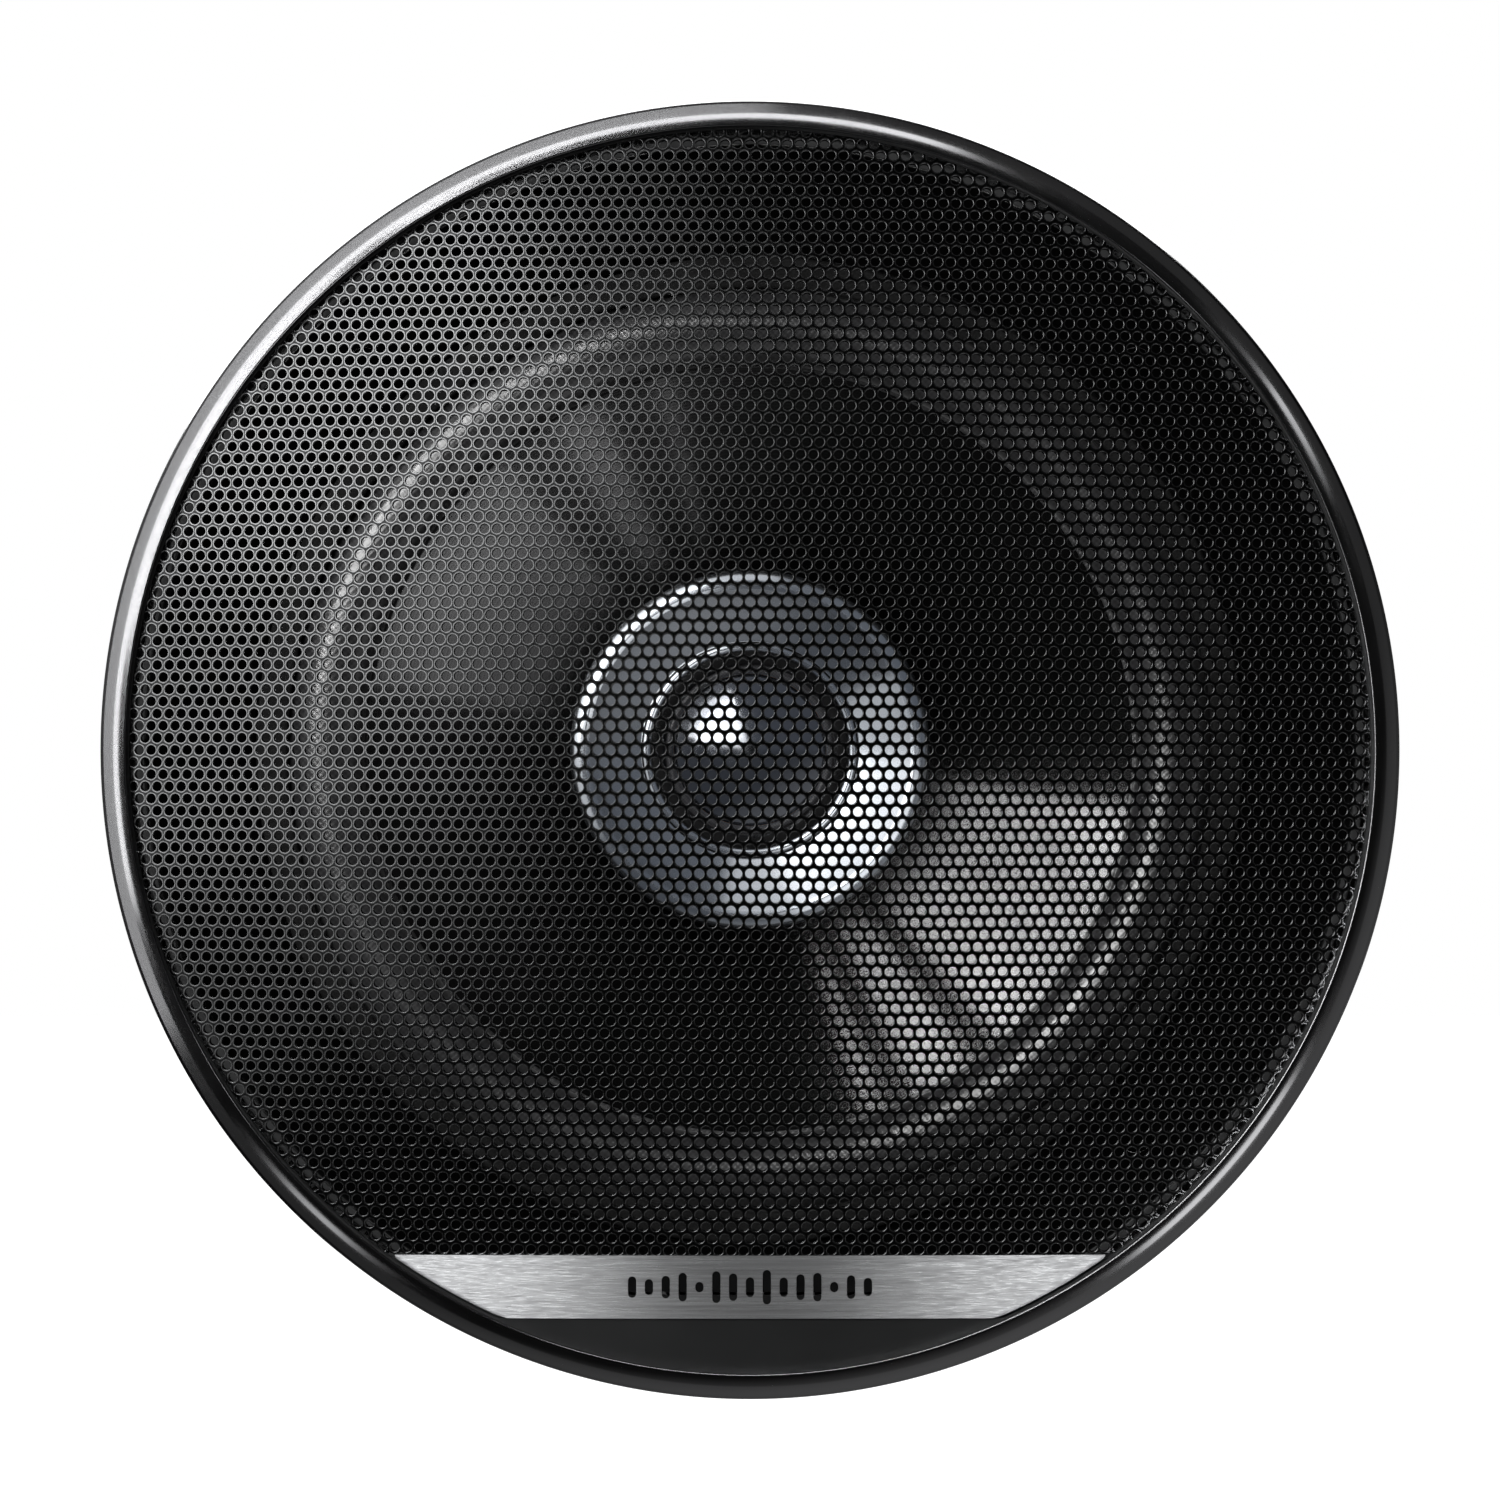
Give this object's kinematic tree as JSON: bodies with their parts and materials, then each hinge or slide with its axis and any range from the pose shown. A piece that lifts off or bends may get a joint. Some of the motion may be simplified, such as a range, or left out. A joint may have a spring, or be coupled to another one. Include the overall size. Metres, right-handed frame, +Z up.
{
  "type": "coaxial car speaker",
  "caption": "Round coaxial car speaker with a domed perforated grille, glossy trim ring, brushed badge, cone woofer and a dome tweeter in a silver dish on a centre post.",
  "frame": {"origin": "centre of the mounting flange's rear face, where the speaker bears on the door panel", "axes": "+Y points into the door, away from the listener; the grille faces -Y; +Z is up, with the badge at the bottom (-Z); +X is to the right as seen from the front"},
  "size_m": [0.17, 0.0633, 0.17],
  "materials": {
    "gloss_black_plastic": "moulded, glossy black",
    "grille_steel": "perforated steel sheet with a satin coat; the alpha stands for its open area",
    "grey_plastic": "moulded, satin dark grey",
    "badge_metal": "brushed lengthwise",
    "badge_ink": "dark inlay",
    "basket_paint": "pressed steel, black powder coat",
    "black_plastic": "moulded, fine grain",
    "foam": "closed-cell foam",
    "plated_steel": "zinc plated, turned",
    "black_steel": "black plated, turned",
    "ferrite": "sintered ferrite, ground faces",
    "cone_plastic": "moulded polypropylene with fine concentric grooves",
    "black_cloth": "coated woven cloth",
    "former_foil": "thin foil",
    "copper": "enamelled copper wire",
    "spider_cloth": "resin-dipped woven cloth",
    "solder": "solder",
    "braid": "flexible copper braid",
    "laminate": "brown paper laminate",
    "tinned_brass": "tinned brass",
    "capacitor_sleeve": "shrunk sleeve",
    "bare_wire": "tinned copper wire",
    "wire_insulation": "soft insulation",
    "shrink_sleeve": "shrunk tube",
    "hot_glue": "cast glue",
    "nickel": "nickel plate",
    "horn_metal": "satin silver, turned",
    "dome_film": "moulded film, glossy"
  },
  "bodies": {
    "frame": {"basket": "basket_paint", "mounting_ring": "black_plastic", "surround_gasket": "foam", "magnet": "ferrite", "top_plate": "plated_steel", "yoke": "black_steel", "basket_rivets": "plated_steel", "surround": "black_cloth", "spider": "spider_cloth", "tinsel_lead_positive": "braid", "tinsel_lead_negative": "braid", "terminal_board": "laminate", "terminal_positive": "tinned_brass", "terminal_negative": "tinned_brass", "terminal_rivets": "tinned_brass", "board_rivets": "plated_steel", "crossover_capacitor": "capacitor_sleeve", "capacitor_wires": "bare_wire", "tweeter_leads": "wire_insulation", "splice_sleeve": "shrink_sleeve", "lead_saddle": "hot_glue", "tweeter_post": "black_plastic", "post_nut": "nickel", "tweeter_cup": "black_plastic", "tweeter_yoke": "plated_steel", "tweeter_magnet": "nickel", "tweeter_pole_plate": "plated_steel", "tweeter_seat_ring": "black_plastic", "tweeter_clamp_ring": "black_plastic", "tweeter_horn": "horn_metal", "tweeter_dome_surround": "black_cloth"},
    "cone_assembly": {"cone": "cone_plastic", "voice_coil_former": "former_foil", "voice_coil_winding": "copper", "tinsel_pads": "solder"},
    "dome_assembly": {"tweeter_dome": "dome_film", "tweeter_coil": "copper"},
    "grille": {"grille_trim_ring": "gloss_black_plastic", "grille_mesh": "grille_steel", "grille_base": "grey_plastic", "badge_plate": "badge_metal", "badge_mark": "badge_ink"}
  },
  "joints": [
    {"name": "cone_travel", "type": "slide", "parent": "frame", "child": "cone_assembly", "axis": [0, -1, 0], "range_m": [-0.004, 0.004], "stiffness_N_per_m": 2000, "deforming": ["surround", "spider", "tinsel_lead_positive", "tinsel_lead_negative"]},
    {"name": "dome_travel", "type": "slide", "parent": "frame", "child": "dome_assembly", "axis": [0, -1, 0], "range_m": [-0.0003, 0.0003], "stiffness_N_per_m": 200, "deforming": ["tweeter_dome_surround"]},
    {"name": "grille_removal", "type": "slide", "parent": "frame", "child": "grille", "axis": [0, -1, 0], "range_m": [0, 0.04]}
  ]
}
